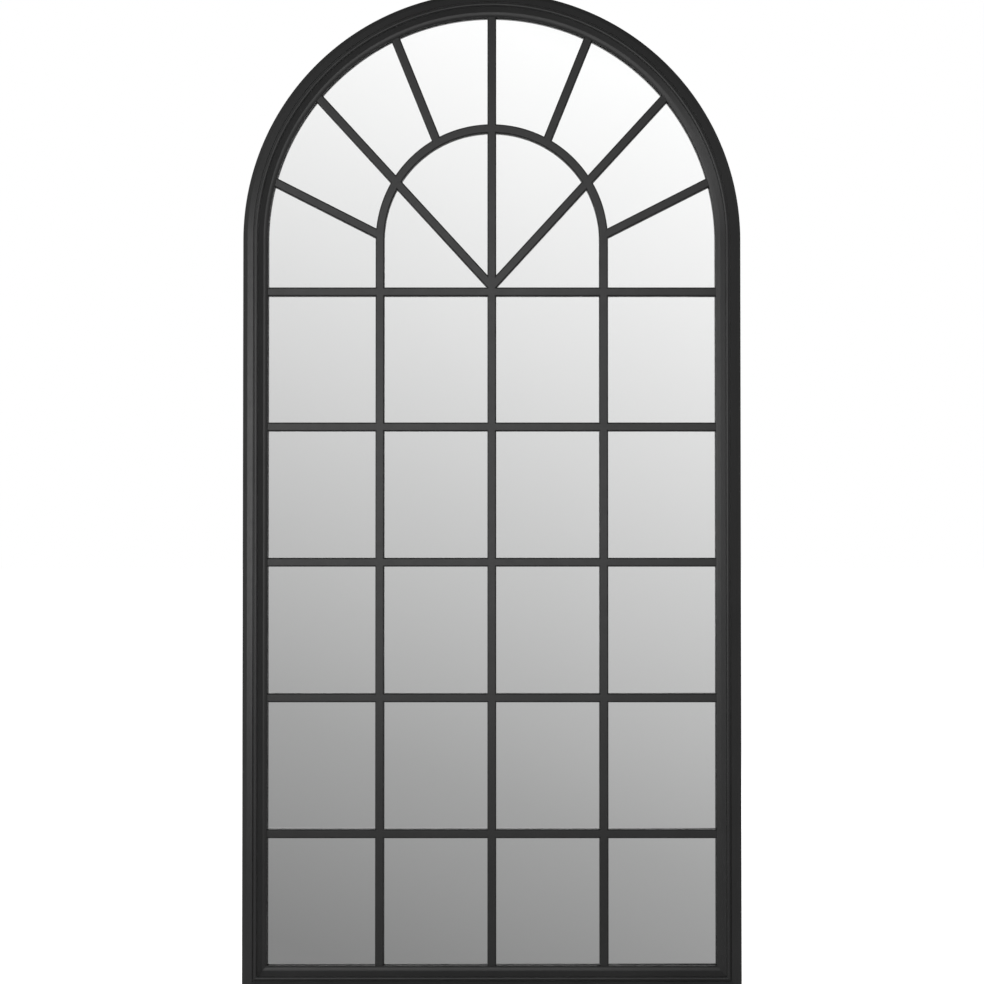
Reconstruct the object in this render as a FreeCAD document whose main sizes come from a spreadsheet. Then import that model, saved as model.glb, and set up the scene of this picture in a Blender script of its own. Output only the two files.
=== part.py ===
import FreeCAD, Part
import math
import os
import re
import Sketcher
from FreeCAD import Placement, Rotation, Vector

# Arched window-pane wall mirror: a moulded wooden frame with a half-round head, a grille of halved
# bars over one sheet of mirror, a screwed backing board and two swinging hanger rings.
# Millimetres, +Z up, the face towards -Y, the origin in the middle of the bottom edge's flat underside.

# Driving dimensions, in millimetres and degrees
SIZES = {
    # Overall: the head is a half circle on the spring line
    "overall_width": 900,
    "spring_height": 1355,
    # Moulding section: places run inwards from the outer edge, heights forwards from the back
    "face_width": 45,
    "frame_depth": 30,
    "edge_height": 15,
    "shoulder_width": 8.8,
    "shoulder_rise": 8,
    "shoulder_swell": 0.3,
    "quirk_place": 19.6,
    "quirk_width": 2.6,
    "slope_drop": 3.2,
    "quirk_drop": 6,
    "bead_width": 6,
    "bead_rise": 2,
    "bevel_drop": 4.9,
    "lip_width": 8,
    "lip_thickness": 11,
    "lip_drop": 3,
    "lip_swell": 0.7,
    "glass_ledge": 8,
    "board_ledge": 9,
    # Glass and backing board
    "glass_thickness": 4,
    "glass_gap": 1,
    "board_thickness": 3,
    "board_gap": 0.5,
    "block_height": 2,
    "block_length": 40,
    "block_offset": 206,
    # Grille: the uprights stand at the quarter points, and the slanting bars aim at points above the hub,
    # where the centre bar crosses the top cross bar. Their angles are measured from upright.
    "bar_width": 16,
    "bar_depth": 7.5,
    "bar_chamfer": 2,
    "top_bar_drop": 94,
    "diagonal_angle": 42.5,
    "diagonal_rise": 10,
    "upper_radial_angle": 22,
    "upper_radial_rise": 27,
    "lower_radial_angle": 63.1,
    "lower_radial_rise": 0,
    # Dowels of the frame joints
    "dowel_diameter": 8,
    "dowel_length": 40,
    "mitre_dowel_length": 30,
    "dowel_height": 9,
    "dowel_outer": 10,
    "dowel_inner": 22,
    "mitre_dowel_place": 18,
    "dowel_gap": 0.1,
    "dowel_end_gap": 1,
    # Screws of the backing board
    "board_screw_diameter": 3.5,
    "board_screw_head": 7,
    "board_screw_length": 13,
    "board_screw_margin": 110,
    "screw_gap": 0.1,
    "screw_taper": 3,
    "screw_point": 0.9,
    # Hanger straps, their rings and screws
    "hanger_drop": 115,
    "strap_width": 13,
    "strap_length": 58,
    "strap_thickness": 1.6,
    "eye_lift": 0.2,
    "pin_gap": 0.1,
    "ring_wire": 3.5,
    "ring_side_gap": 0.5,
    "ring_corner": 4,
    "ring_leg": 5,
    "hanger_screw_diameter": 4,
    "hanger_screw_head": 8,
    "hanger_screw_rise": 2.2,
    "hanger_screw_rim": 1.1,
    "hanger_screw_crown": 5.6,
    "hanger_screw_length": 14,
    "hanger_screw_drop": 31,
    "hanger_screw_pitch": 19,
    # Wall bumpers
    "bumper_diameter": 16,
    "bumper_thickness": 8,
    "bumper_height": 80,
    "bumper_angle": 55,
}

# Counts
PANE_ROWS = 5
SIDE_SCREWS = 5
HEAD_SCREWS = 6
BOTTOM_SCREWS = 4
STRAP_SCREWS = 2

doc = FreeCAD.newDocument("arched_mirror")
sheet = doc.addObject("Spreadsheet::Sheet", "Sizes")
for row, (alias, plain_number) in enumerate(SIZES.items(), start=1):
    sheet.set(f"A{row}", alias.replace("_", " "))
    sheet.set(f"B{row}", str(plain_number))
    sheet.setAlias(f"B{row}", alias)
doc.recompute()

# Places that several pieces share, as formulas of the driving dimensions
HALF_WIDTH = "(overall_width / 2)"
SIGHT_HALF = "(overall_width / 2 - face_width)"
BACK_Y = "(edge_height / 2)"
LEDGE = "(board_thickness + glass_thickness)"
LIP_FACE = f"({LEDGE} + lip_thickness)"
GLASS_WALL = "(face_width - glass_ledge)"
LAND = "(face_width - glass_ledge - board_ledge)"
GLASS_FACE_Y = f"({BACK_Y} - {LEDGE})"
BAR_FACE_Y = f"({GLASS_FACE_Y} - bar_depth)"
LAP_Y = f"({GLASS_FACE_Y} - bar_depth / 2)"
BAR_HALF = "(bar_width / 2)"
SIDE_BAR = f"({SIGHT_HALF} / 2)"
HUB_Z = "(spring_height - top_bar_drop)"
BAR_PITCH = f"(({HUB_Z} - face_width + {BAR_HALF}) / {PANE_ROWS})"
UPRIGHT_LENGTH = "(spring_height - face_width)"
RING_HALF = "(strap_width / 2 + ring_side_gap)"
RING_BOW = f"({RING_HALF} + ring_corner)"
EYE_BORE = "(ring_wire / 2 + pin_gap)"
EYE_RADIUS = f"({EYE_BORE} + strap_thickness)"
PIVOT_Y = f"({BACK_Y} + {EYE_RADIUS} + eye_lift)"
PIVOT_Z = "(spring_height - hanger_drop)"
LAND_MIDDLE = f"({HALF_WIDTH} - {LAND} / 2)"
SIDES = {"left": -1, "right": 1}

ALONG_X = Rotation(Vector(0, 1, 0), 90)
FACING_BACK = Rotation(Vector(1, 0, 0), -90)
FACING_FRONT = Rotation(Vector(1, 0, 0), 90)


def formula(text):
    """The expression with each size's name pointed at the sheet."""
    return re.sub(r"[a-z_]+", lambda word: f"Sizes.{word[0]}" if word[0] in SIZES else word[0], text)


def number(text):
    """What an expression of the sizes comes to now."""
    return float(sheet.evalExpression(formula(text)))


def place(thing, x, y, z, rotation=None, turn=None):
    """Puts a thing at formulas of the sizes, turned by a fixed rotation or by a formula about the Y axis."""
    if turn is not None:
        spot = f"vector({x}; {y}; {z})"
        about_y = f"rotation(vector(0; 1; 0); ({turn}) * 1deg)"
        thing.setExpression("Placement", formula(f"placement({spot}; {about_y})"))
        return
    if rotation is not None:
        thing.Placement = Placement(Vector(), rotation)
    for axis, text in zip("xyz", (x, y, z)):
        thing.setExpression(f"Placement.Base.{axis}", formula(text))


# Sketches and the features on them
def new_sketch(body, name, role):
    """A sketch on one of the body's own origin planes."""
    sketch = body.newObject("Sketcher::SketchObject", name)
    plane = next(feature for feature in body.Origin.OriginFeatures if feature.Role == role)
    sketch.AttachmentSupport = [(plane, "")]
    sketch.MapMode = "FlatFace"
    return sketch


def hold(sketch, kind, geometry, point, text, name):
    """Ties one coordinate of a sketch point to a formula."""
    index = sketch.addConstraint(Sketcher.Constraint(kind, geometry, point, number(text)))
    sketch.renameConstraint(index, name)
    sketch.setExpression(f"Constraints.{name}", formula(text))


def arc_between(start, end, rise, toward):
    """An arc of under half a turn that rises from its chord, and which of its ends is the start."""
    chord = end - start
    lift = Vector(-chord.y, chord.x, 0).normalize()
    if lift.dot(toward) < 0:
        lift = -lift
    radius = chord.Length**2 / (8 * rise) + rise / 2
    centre = (start + end) * 0.5 + lift * (rise - radius)
    forwards = (start - centre).cross(end - centre).z > 0
    first, second = (start, end) if forwards else (end, start)
    angles = [math.atan2(point.y - centre.y, point.x - centre.x) for point in (first, second)]
    if angles[1] < angles[0]:
        angles[1] += 2 * math.pi
    return Part.ArcOfCircle(Part.Circle(centre, Vector(0, 0, 1), radius), *angles), forwards


def draw_outline(sketch, corners):
    """Draws a closed outline. A corner is (x, y), or (x, y, rise, toward) where an arc leads to it."""
    spots = [Vector(number(corner[0]), number(corner[1]), 0) for corner in corners]
    first_edge = sketch.GeometryCount
    ends = []
    for index, corner in enumerate(corners):
        if len(corner) == 2:
            sketch.addGeometry(Part.LineSegment(spots[index - 1], spots[index]))
            ends.append((1, 2))
            continue
        arc, forwards = arc_between(spots[index - 1], spots[index], number(corner[2]), Vector(*corner[3], 0))
        sketch.addGeometry(arc)
        ends.append((1, 2) if forwards else (2, 1))
    for index, corner in enumerate(corners):
        following = (index + 1) % len(corners)
        edge = first_edge + index
        joint = (edge, ends[index][1], first_edge + following, ends[following][0])
        sketch.addConstraint(Sketcher.Constraint("Coincident", *joint))
        hold(sketch, "DistanceX", edge, ends[index][1], corner[0], f"x{edge}")
        hold(sketch, "DistanceY", edge, ends[index][1], corner[1], f"y{edge}")
        if len(corner) > 2:
            x0, y0 = corners[index - 1][:2]
            chord_squared = f"((({corner[0]}) - ({x0}))^2 + (({corner[1]}) - ({y0}))^2)"
            radius = f"{chord_squared} / (8 * ({corner[2]})) + ({corner[2]}) / 2"
            name = f"r{edge}"
            round_index = sketch.addConstraint(Sketcher.Constraint("Radius", edge, number(radius)))
            sketch.renameConstraint(round_index, name)
            sketch.setExpression(f"Constraints.{name}", formula(radius))


def draw_arched_outline(sketch, half_width, bottom):
    """Draws an upright rectangle with a half-round head on the spring line."""
    half, low, spring = number(half_width), number(bottom), number("spring_height")
    corners = [Vector(-half, low, 0), Vector(half, low, 0), Vector(half, spring, 0), Vector(-half, spring, 0)]
    sketch.addGeometry(Part.LineSegment(corners[0], corners[1]))
    sketch.addGeometry(Part.LineSegment(corners[1], corners[2]))
    head = Part.Circle(Vector(0, spring, 0), Vector(0, 0, 1), half)
    sketch.addGeometry(Part.ArcOfCircle(head, 0, math.pi))
    sketch.addGeometry(Part.LineSegment(corners[3], corners[0]))
    for edge in range(4):
        sketch.addConstraint(Sketcher.Constraint("Coincident", edge, 2, (edge + 1) % 4, 1))
    places = [(f"-({half_width})", bottom), (half_width, bottom), (half_width, "spring_height")]
    places.append((f"-({half_width})", "spring_height"))
    for edge, (x, y) in enumerate(places):
        hold(sketch, "DistanceX", edge, 1, x, f"x{edge}")
        hold(sketch, "DistanceY", edge, 1, y, f"y{edge}")
    hold(sketch, "DistanceY", 2, 3, "spring_height", "head_centre")


def pad(body, sketch, length, both_ways=False):
    """Pads a sketch by a formula, to one side or evenly to both."""
    feature = body.newObject("PartDesign::Pad", f"{body.Name}_pad")
    feature.Profile = sketch
    feature.SideType = "Symmetric" if both_ways else "One side"
    feature.setExpression("Length", formula(length))


def cut_corner(body, name, corners):
    """Cuts a prism right through the body's depth."""
    sketch = new_sketch(body, f"{name}_outline", "XZ_Plane")
    draw_outline(sketch, corners)
    feature = body.newObject("PartDesign::Pocket", name)
    feature.Profile = sketch
    feature.SideType = "Symmetric"
    feature.setExpression("Length", formula("4 * frame_depth"))


def swing(body, sketch, angle, backwards):
    """Turns a section about the upright axis of its sketch, which runs front to back."""
    feature = body.newObject("PartDesign::Revolution", f"{body.Name}_swing")
    feature.Profile = sketch
    feature.ReferenceAxis = (sketch, ["V_Axis"])
    feature.Angle = angle
    feature.Reversed = backwards


# Booleans and groups
def cut(name, base, tool):
    """One piece less another."""
    result = doc.addObject("Part::Cut", name)
    result.Base = base
    result.Tool = tool
    return result


def common(name, base, tool):
    """What two pieces share."""
    result = doc.addObject("Part::Common", name)
    result.Base = base
    result.Tool = tool
    return result


def fuse(name, pieces):
    """Several touching solids as one."""
    result = doc.addObject("Part::MultiFuse", name)
    result.Shapes = pieces
    result.Refine = True
    return result


def group(name, pieces):
    """Separate solids kept together."""
    result = doc.addObject("Part::Compound", name)
    result.Links = pieces
    return result


def box(name, length, width, height):
    """A block whose sides follow formulas."""
    block = doc.addObject("Part::Box", name)
    for side, text in zip(("Length", "Width", "Height"), (length, width, height)):
        block.setExpression(side, formula(text))
    return block


def cylinder(name, radius, height, angle=360):
    """A round bar, or a sector of one, whose sizes follow formulas."""
    rod = doc.addObject("Part::Cylinder", name)
    rod.setExpression("Radius", formula(radius))
    rod.setExpression("Height", formula(height))
    rod.Angle = angle
    return rod


# Frame members: one moulding section, padded for the straight members and swung for the head
def moulding_corners():
    """The section as (place from the outer edge, height from the back), with each arc's rise and side."""
    bead_start = "(quirk_place + quirk_width)"
    bead_end = "(quirk_place + quirk_width + bead_width)"
    bead_base = "frame_depth - bead_rise"
    return [
        ("0", "0"),
        ("0", "edge_height"),
        ("shoulder_width", "edge_height + shoulder_rise", "shoulder_swell", (-1, 1)),
        ("quirk_place", "frame_depth - slope_drop"),
        ("quirk_place", "frame_depth - quirk_drop"),
        (bead_start, "frame_depth - quirk_drop"),
        (bead_start, bead_base),
        (bead_end, bead_base, "bead_rise", (0, 1)),
        (bead_end, "frame_depth - bevel_drop"),
        ("face_width - lip_width", LIP_FACE),
        ("face_width", f"{LIP_FACE} - lip_drop", "lip_swell", (1, 1)),
        ("face_width", LEDGE),
        (GLASS_WALL, LEDGE),
        (GLASS_WALL, "board_thickness"),
        (LAND, "board_thickness"),
        (LAND, "0"),
    ]


def moulding_sketch(body, role, spot, way):
    """Draws the section with its places and heights turned into the sketch's own directions."""
    sketch = new_sketch(body, f"{body.Name}_section", role)
    corners = []
    for corner in moulding_corners():
        turned = spot(corner[0], corner[1])
        if len(corner) > 2:
            turned += (corner[2], way(*corner[3]))
        corners.append(turned)
    draw_outline(sketch, corners)
    return sketch


def side_sketch(body, side):
    """The section as it stands at the left or right outer edge."""

    def spot(inward, forward):
        return f"{side} * ({HALF_WIDTH} - ({inward}))", f"{BACK_Y} - ({forward})"

    def way(inward, forward):
        return -side * inward, -forward

    return moulding_sketch(body, "XY_Plane", spot, way)


def make_stile(name, side):
    """An upright member from the mitred bottom corner to the spring line."""
    body = doc.addObject("PartDesign::Body", f"{name}_blank")
    pad(body, side_sketch(body, side), "spring_height")
    outer = f"{side} * {HALF_WIDTH}"
    inner = f"{side} * ({HALF_WIDTH} - 2 * face_width)"
    cut_corner(body, f"{name}_mitre", [(outer, "0"), (inner, "0"), (inner, "2 * face_width")])
    return body


def make_rail(name):
    """The bottom member, mitred at both ends."""
    body = doc.addObject("PartDesign::Body", f"{name}_blank")

    def spot(inward, forward):
        return f"{BACK_Y} - ({forward})", inward

    def way(inward, forward):
        return -forward, inward

    pad(body, moulding_sketch(body, "YZ_Plane", spot, way), "overall_width", both_ways=True)
    for end, side in SIDES.items():
        outer = f"{side} * {HALF_WIDTH}"
        inner = f"{side} * ({HALF_WIDTH} - 2 * face_width)"
        top = "2 * face_width"
        cut_corner(body, f"{name}_{end}_mitre", [(outer, "0"), (outer, top), (inner, top)])
    return body


def make_head(name, side):
    """A quarter ring from the spring line to the crown."""
    body = doc.addObject("PartDesign::Body", f"{name}_blank")
    swing(body, side_sketch(body, side), 90, backwards=side > 0)
    place(body, "0", "0", "spring_height")
    return body


def rod_between(name, radius, length, middle, turn):
    """A round rod about its middle point, turned from upright about the Y axis."""
    rod = cylinder(name, radius, length)
    x = f"{middle[0]} - sin({turn}deg) * ({length}) / 2"
    z = f"{middle[2]} - cos({turn}deg) * ({length}) / 2"
    place(rod, x, middle[1], z, turn=str(turn))
    return rod


def make_dowels():
    """The dowels of the spring, crown and mitre joints, and the holes that take them."""
    depth = f"{BACK_Y} - dowel_height"
    joints = {"spring_dowels": [], "crown_dowels": [], "mitre_dowels": []}
    for side in SIDES.values():
        for inset in ("dowel_outer", "dowel_inner"):
            spot = (f"{side} * ({HALF_WIDTH} - {inset})", depth, "spring_height")
            joints["spring_dowels"].append((spot, 0, "dowel_length"))
        spot = (f"{side} * ({HALF_WIDTH} - mitre_dowel_place)", depth, "mitre_dowel_place")
        joints["mitre_dowels"].append((spot, -135 * side, "mitre_dowel_length"))
    for inset in ("dowel_outer", "dowel_inner"):
        spot = ("0", depth, f"spring_height + {HALF_WIDTH} - {inset}")
        joints["crown_dowels"].append((spot, 90, "dowel_length"))
    holes = []
    for node, rods in joints.items():
        pins = []
        for index, (spot, turn, length) in enumerate(rods):
            pins.append(rod_between(f"{node}_pin_{index}", "dowel_diameter / 2", length, spot, turn))
            bore = "dowel_diameter / 2 + dowel_gap"
            deep = f"({length} + 2 * dowel_end_gap)"
            holes.append(rod_between(f"{node}_hole_{index}", bore, deep, spot, turn))
        group(node, pins)
    return holes


# Screws: turned profiles, driven forwards from the back
def turned(profile):
    """A solid of revolution about the Y axis from (radius, y) points."""
    points = [Vector(radius, y, 0) for radius, y in profile]
    face = Part.Face(Part.makePolygon(points + points[:1]))
    return face.revolve(Vector(), Vector(0, 1, 0), 360)


def board_screw(gap):
    """A countersunk screw with its head's top at the origin, larger all round by the gap."""
    shank = number("board_screw_diameter / 2") + gap
    head = number("board_screw_head / 2") + gap
    tip = number("board_screw_length") + gap
    taper = tip - number("screw_taper")
    point = number("screw_point / 2")
    return turned([(0, 0), (head, 0), (shank, shank - head), (shank, -taper), (point, -tip), (0, -tip)])


def hanger_screw(gap):
    """The shank of a strap screw under its head, larger by the gap."""
    shank = number("hanger_screw_diameter / 2") + gap
    tip = number("hanger_screw_length") + gap
    taper = tip - number("screw_taper")
    point = number("screw_point / 2")
    return turned([(0, 0), (shank, 0), (shank, -taper), (point, -tip), (0, -tip)])


def hanger_screw_with_head():
    """A pan-head screw with the underside of its head at the origin."""
    head = number("hanger_screw_head / 2")
    rim = number("hanger_screw_rim")
    rise = number("hanger_screw_rise")
    crown = number("hanger_screw_crown / 2")
    cap = turned([(0, 0), (head, 0), (head, rim), (crown, rise), (0, rise)])
    return cap.fuse(hanger_screw(0)).removeSplitter()


def board_screw_spots():
    """Where the board screws stand: up both sides, round the head and along the bottom."""
    inset = number(f"{LAND} + board_ledge / 2")
    half = number(HALF_WIDTH)
    spring = number("spring_height")
    margin = number("board_screw_margin")
    spots = []
    for index in range(SIDE_SCREWS):
        z = margin + index * (spring - 2 * margin) / (SIDE_SCREWS - 1)
        spots += [(-half + inset, z), (half - inset, z)]
    for index in range(HEAD_SCREWS):
        angle = math.pi * (index + 0.5) / HEAD_SCREWS
        spots.append(((half - inset) * math.cos(angle), spring + (half - inset) * math.sin(angle)))
    for index in range(BOTTOM_SCREWS):
        x = (2 * index / (BOTTOM_SCREWS - 1) - 1) * (half - margin)
        spots.append((x, inset))
    return spots


def hanger_screw_spots():
    """Where the strap screws stand, in a row down each strap."""
    spots = []
    for index in range(STRAP_SCREWS):
        z = number(f"{PIVOT_Z} - hanger_screw_drop - {index} * hanger_screw_pitch")
        spots += [(side * number(LAND_MIDDLE), z) for side in SIDES.values()]
    return spots


def set_out(name, solid, spots, y):
    """Copies of a solid at each spot, as one object."""
    copies = []
    for x, z in spots:
        copy = solid.copy()
        copy.translate(Vector(x, y, z))
        copies.append(copy)
    feature = doc.addObject("Part::Feature", name)
    feature.Shape = Part.makeCompound(copies)
    return feature


# Grille: bars are halved where they cross. The uprights and diagonals keep the front half, and what they
# cross is scribed to their chamfers, so that all the fronts lie flush.
def bar_section(sketch, middle):
    """The bar's section about a middle line, with its front edges chamfered."""
    low, high = f"{middle} - {BAR_HALF}", f"{middle} + {BAR_HALF}"
    shoulder = f"{BAR_FACE_Y} + bar_chamfer"
    draw_outline(
        sketch,
        [
            (low, GLASS_FACE_Y),
            (low, shoulder),
            (f"{low} + bar_chamfer", BAR_FACE_Y),
            (f"{high} - bar_chamfer", BAR_FACE_Y),
            (high, shoulder),
            (high, GLASS_FACE_Y),
        ],
    )


def bar_blank(name, length, x, z, turn):
    """A straight bar that runs from its start point, turned from upright about the Y axis."""
    body = doc.addObject("PartDesign::Body", f"{name}_blank")
    sketch = new_sketch(body, f"{name}_section", "XY_Plane")
    bar_section(sketch, "0")
    pad(body, sketch, length)
    place(body, x, "0", z, turn=turn)
    return body


def arched_prism(name, half_width, bottom):
    """An arched prism that reaches well past the frame's front and back."""
    body = doc.addObject("PartDesign::Body", name)
    sketch = new_sketch(body, f"{name}_outline", "XZ_Plane")
    draw_arched_outline(sketch, half_width, bottom)
    pad(body, sketch, "4 * frame_depth", both_ways=True)
    return body


def half_disc(name, radius):
    """The upper half of a disc about the head's centre, as deep as the back half of a bar."""
    disc = cylinder(name, radius, "bar_depth / 2", angle=180)
    place(disc, "0", GLASS_FACE_Y, "spring_height", rotation=FACING_FRONT)
    return disc


def row_space(row, z):
    """The back half of a cross bar, square-edged, that the uprights are cut away for."""
    block = box(f"row_{row}_space", f"2 * {SIGHT_HALF}", "bar_depth / 2", "bar_width")
    place(block, f"-{SIGHT_HALF}", LAP_Y, f"{z} - {BAR_HALF}")
    return block


def make_uprights(sight, row_spaces, arch_space):
    """The centre and side bars, cut away behind for the bars that pass there."""
    row_laps = group("row_laps", row_spaces)
    bars = []
    for end, side in SIDES.items():
        blank = bar_blank(f"{end}_bar", UPRIGHT_LENGTH, f"{side} * {SIDE_BAR}", "face_width", "0")
        bars.append(cut(f"{end}_bar", blank, row_laps))
    blank = bar_blank("centre_bar", f"{UPRIGHT_LENGTH} + {SIGHT_HALF}", "0", "face_width", "0")
    trimmed = common("centre_bar_trimmed", blank, sight)
    bars.append(cut("centre_bar", trimmed, group("centre_bar_laps", row_spaces + [arch_space])))
    return bars


def make_diagonal(name, side, sight, centre_bar, top_bar, arch_space):
    """A long slanting bar from the hub to the head, over the inner arch."""
    x = f"{side} * bar_chamfer * sin(diagonal_angle * 1deg)"
    z = f"{HUB_Z} + diagonal_rise + bar_chamfer * cos(diagonal_angle * 1deg)"
    blank = bar_blank(name, "overall_width", x, z, f"{side} * diagonal_angle")
    trimmed = common(f"{name}_trimmed", blank, sight)
    scribed = cut(f"{name}_at_centre_bar", trimmed, centre_bar)
    return cut(name, cut(f"{name}_at_top_bar", scribed, top_bar), arch_space)


def make_inner_arch(crossing_bars):
    """The half-round bar, scribed to the bars that cross in front of it."""
    arch = doc.addObject("PartDesign::Body", "inner_arch_blank")
    sketch = new_sketch(arch, "inner_arch_section", "XY_Plane")
    bar_section(sketch, f"-{SIDE_BAR}")
    swing(arch, sketch, 180, backwards=False)
    place(arch, "0", "0", "spring_height")
    for bar in crossing_bars[:-1]:
        arch = cut(f"inner_arch_at_{bar.Name}", arch, bar)
    return cut("inner_arch", arch, crossing_bars[-1])


def make_radial(name, side, level, sight, inside, inner_arch, side_bar):
    """A short slanting bar from the inner arch to the head."""
    aim = f"{HUB_Z} + {level}_radial_rise"
    blank = bar_blank(name, "overall_width", "0", aim, f"{side} * {level}_radial_angle")
    outer = cut(f"{name}_outer", common(f"{name}_trimmed", blank, sight), inside)
    cut(name, cut(f"{name}_at_side_bar", outer, side_bar), inner_arch)


def make_grille():
    """All the bars, in the order in which they are scribed to each other."""
    sight = arched_prism("sight_opening", SIGHT_HALF, "face_width")
    inside = arched_prism("inside_of_inner_arch", SIDE_BAR, "face_width")
    outer_disc = half_disc("arch_space_outside", f"{SIDE_BAR} + {BAR_HALF}")
    inner_disc = half_disc("arch_space_inside", f"{SIDE_BAR} - {BAR_HALF}")
    arch_space = cut("arch_space", outer_disc, inner_disc)
    row_heights = [f"({HUB_Z} - {row} * {BAR_PITCH})" for row in range(PANE_ROWS)]
    row_spaces = [row_space(row, z) for row, z in enumerate(row_heights)]
    left_bar, right_bar, centre_bar = make_uprights(sight, row_spaces, arch_space)
    uprights = group("uprights", [left_bar, right_bar, centre_bar])
    rows = []
    for row, z in enumerate(row_heights):
        name = f"cross_bar_{row + 1}"
        rows.append(cut(name, bar_blank(name, f"2 * {SIGHT_HALF}", f"-{SIGHT_HALF}", z, "90"), uprights))
    crossing = [centre_bar]
    for end, side in SIDES.items():
        crossing.append(make_diagonal(f"{end}_diagonal", side, sight, centre_bar, rows[0], arch_space))
    inner_arch = make_inner_arch(crossing)
    for (end, side), side_bar in zip(SIDES.items(), (left_bar, right_bar)):
        for level in ("upper", "lower"):
            make_radial(f"{end}_{level}_radial", side, level, sight, inside, inner_arch, side_bar)


# Glass and back
def arched_sheet(name, half_width, bottom, thickness, back):
    """A flat sheet with the mirror's arched outline, whose back lies at the given depth."""
    body = doc.addObject("PartDesign::Body", name)
    sketch = new_sketch(body, f"{name}_outline", "XZ_Plane")
    draw_arched_outline(sketch, half_width, bottom)
    pad(body, sketch, thickness)
    place(body, "0", back, "0")
    return body


def make_glass():
    """The mirror sheet in its rebate, on two setting blocks."""
    half = f"({HALF_WIDTH} - {GLASS_WALL} - glass_gap)"
    bottom = f"{GLASS_WALL} + block_height"
    arched_sheet("mirror_plate", half, bottom, "glass_thickness", f"{BACK_Y} - board_thickness")
    blocks = []
    for end, side in SIDES.items():
        block = box(f"{end}_block", "block_length", "glass_thickness", "block_height")
        place(block, f"{side} * block_offset - block_length / 2", GLASS_FACE_Y, GLASS_WALL)
        blocks.append(block)
    group("setting_blocks", blocks)


def make_board(screw_ways):
    """The backing board, flush with the frame's back and countersunk for its screws."""
    half = f"({HALF_WIDTH} - {LAND} - board_gap)"
    blank = arched_sheet("board_blank", half, f"{LAND} + board_gap", "board_thickness", BACK_Y)
    cut("backing_board", blank, screw_ways)


# Hangers and bumpers
def make_strap(end, side, screw_ways):
    """A steel strap with a rolled eye at its top for the ring's straight bar."""
    x = f"({side} * {LAND_MIDDLE} - strap_width / 2)"
    plate = box(f"{end}_strap_plate", "strap_width", "strap_thickness", "strap_length")
    place(plate, x, BACK_Y, f"{PIVOT_Z} - strap_length")
    eye = cylinder(f"{end}_strap_eye", EYE_RADIUS, "strap_width")
    place(eye, x, PIVOT_Y, PIVOT_Z, rotation=ALONG_X)
    bore = cylinder(f"{end}_strap_bore", EYE_BORE, "strap_width")
    place(bore, x, PIVOT_Y, PIVOT_Z, rotation=ALONG_X)
    blank = cut(f"{end}_strap_blank", fuse(f"{end}_strap_solid", [plate, eye]), bore)
    cut(f"{end}_hanger_strap", blank, screw_ways)


def bend(name, radius, angle, start, x, z):
    """A bent length of ring wire about a centre, in the ring's upright plane."""
    torus = doc.addObject("Part::Torus", name)
    torus.setExpression("Radius1", formula(radius))
    torus.setExpression("Radius2", formula("ring_wire / 2"))
    torus.Angle3 = angle
    place(torus, x, PIVOT_Y, z, rotation=FACING_FRONT * Rotation(Vector(0, 0, 1), start))
    return torus


def make_ring(end, side):
    """A D-shaped wire ring that hangs down from its straight bar in the strap's eye."""
    middle = f"{side} * {LAND_MIDDLE}"
    bar = cylinder(f"{end}_ring_bar", "ring_wire / 2", f"2 * {RING_HALF}")
    place(bar, f"{middle} - {RING_HALF}", PIVOT_Y, PIVOT_Z, rotation=ALONG_X)
    corner_z = f"{PIVOT_Z} - ring_corner"
    bow_z = f"{PIVOT_Z} - ring_corner - ring_leg"
    pieces = [bar, bend(f"{end}_ring_bow", RING_BOW, 180, 180, middle, bow_z)]
    for hand, start in ((-1, 90), (1, 0)):
        tag = f"{end}_ring_{'left' if hand < 0 else 'right'}"
        corner_x = f"{middle} + {hand} * {RING_HALF}"
        pieces.append(bend(f"{tag}_corner", "ring_corner", 90, start, corner_x, corner_z))
        leg = cylinder(f"{tag}_leg", "ring_wire / 2", "ring_leg")
        place(leg, f"{middle} + {hand} * {RING_BOW}", PIVOT_Y, bow_z)
        pieces.append(leg)
    fuse(f"{end}_hanger_ring", pieces)


def make_bumpers():
    """Rubber pads low on the stiles and high on the head, all to one wall plane."""
    pads = []
    for end, side in SIDES.items():
        spots = {
            "low": (f"{side} * {LAND_MIDDLE}", "bumper_height"),
            "high": (
                f"{side} * {LAND_MIDDLE} * cos(bumper_angle * 1deg)",
                f"spring_height + {LAND_MIDDLE} * sin(bumper_angle * 1deg)",
            ),
        }
        for level, (x, z) in spots.items():
            pad_body = cylinder(f"{end}_{level}_bumper", "bumper_diameter / 2", "bumper_thickness")
            place(pad_body, x, BACK_Y, z, rotation=FACING_BACK)
            pads.append(pad_body)
    group("wall_bumpers", pads)


def make_frame(holes):
    """The five members, drilled for dowels and screws."""
    drilled = group("fixing_holes", holes)
    cut("bottom_rail", make_rail("bottom_rail"), drilled)
    for end, side in SIDES.items():
        cut(f"{end}_stile", make_stile(f"{end}_stile", side), drilled)
        cut(f"{end}_arch", make_head(f"{end}_arch", side), drilled)


board_spots = board_screw_spots()
strap_spots = hanger_screw_spots()
back_y = number(BACK_Y)
strap_y = number(f"{BACK_Y} + strap_thickness")
gap = number("screw_gap")
board_ways = set_out("board_screw_ways", board_screw(gap), board_spots, back_y)
strap_ways = set_out("strap_screw_ways", hanger_screw(gap), strap_spots, strap_y)
set_out("backing_screws", board_screw(0), board_spots, back_y)
set_out("hanger_screws", hanger_screw_with_head(), strap_spots, strap_y)
make_frame(make_dowels() + [board_ways, strap_ways])
make_grille()
make_glass()
make_board(board_ways)
for end, side in SIDES.items():
    make_strap(end, side, strap_ways)
    make_ring(end, side)
make_bumpers()
doc.recompute()

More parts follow.
